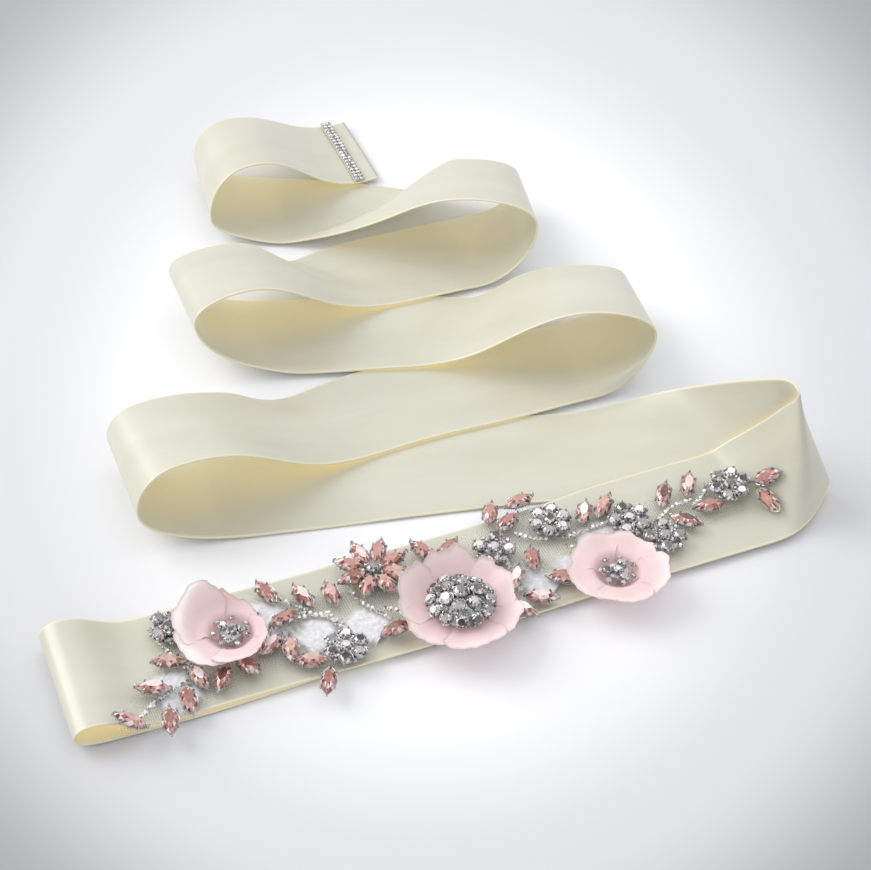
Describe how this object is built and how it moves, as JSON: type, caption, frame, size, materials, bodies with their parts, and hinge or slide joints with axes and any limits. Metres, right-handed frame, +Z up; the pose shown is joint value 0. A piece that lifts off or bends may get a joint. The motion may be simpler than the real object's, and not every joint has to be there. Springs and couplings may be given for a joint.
{
  "type": "sash belt",
  "caption": "Ivory satin ribbon sash laid in a loose zig-zag, with a floral spray of rose and clear stones and organza flowers sewn on its front run.",
  "frame": {"origin": "on the surface, under the centre of the bounding box", "axes": "+X to the viewer's right along the front run, +Y away from the viewer towards the ribbon's end, +Z up from the surface"},
  "size_m": [0.236, 0.3064, 0.0417],
  "materials": {
    "satin": "ivory double-faced satin, soft sheen",
    "net": "white net with fine thread, matt",
    "rose_stone": "cut rose-pink stone, polished",
    "clear_stone": "clear cut stone in a silver setting, polished",
    "petal": "blush organza, thin and slightly see-through"
  },
  "bodies": {
    "root": {"ribbon_tail": "satin", "ribbon_front": "satin", "ribbon_run_2": "satin", "ribbon_run_3": "satin", "ribbon_run_4": "satin", "ribbon_run_5": "satin", "ribbon_run_6": "satin", "ribbon_end": "satin", "net_backing": "net", "stone_01": "rose_stone", "stone_02": "rose_stone", "stone_03": "rose_stone", "stone_04": "rose_stone", "stone_05": "rose_stone", "stone_06": "rose_stone", "stone_07": "rose_stone", "stone_08": "rose_stone", "stone_09": "rose_stone", "stone_10": "rose_stone", "stone_11": "rose_stone", "stone_12": "rose_stone", "stone_13": "rose_stone", "stone_14": "rose_stone", "stone_15": "rose_stone", "stone_16": "rose_stone", "stone_17": "rose_stone", "stone_18": "rose_stone", "stone_19": "rose_stone", "stone_20": "rose_stone", "stone_21": "rose_stone", "stone_22": "rose_stone", "stone_23": "rose_stone", "stone_24": "rose_stone", "stone_25": "rose_stone", "stone_26": "rose_stone", "stone_27": "rose_stone", "stone_28": "rose_stone", "stone_29": "rose_stone", "stone_30": "rose_stone", "stone_31": "rose_stone", "stone_32": "rose_stone", "stone_33": "rose_stone", "stone_34": "rose_stone", "stone_35": "rose_stone", "stone_flower": "rose_stone", "flower_left": "petal", "flower_middle": "petal", "flower_right": "petal", "crystals_1": "clear_stone", "crystals_2": "clear_stone", "crystals_3": "clear_stone", "crystals_4": "clear_stone", "crystals_5": "clear_stone", "crystals_6": "clear_stone", "crystals_7": "clear_stone", "flower_left_centre": "clear_stone", "flower_right_centre": "clear_stone", "flower_middle_dome": "clear_stone", "stone_flower_centre": "clear_stone", "trim_strip": "clear_stone"}
  },
  "joints": []
}
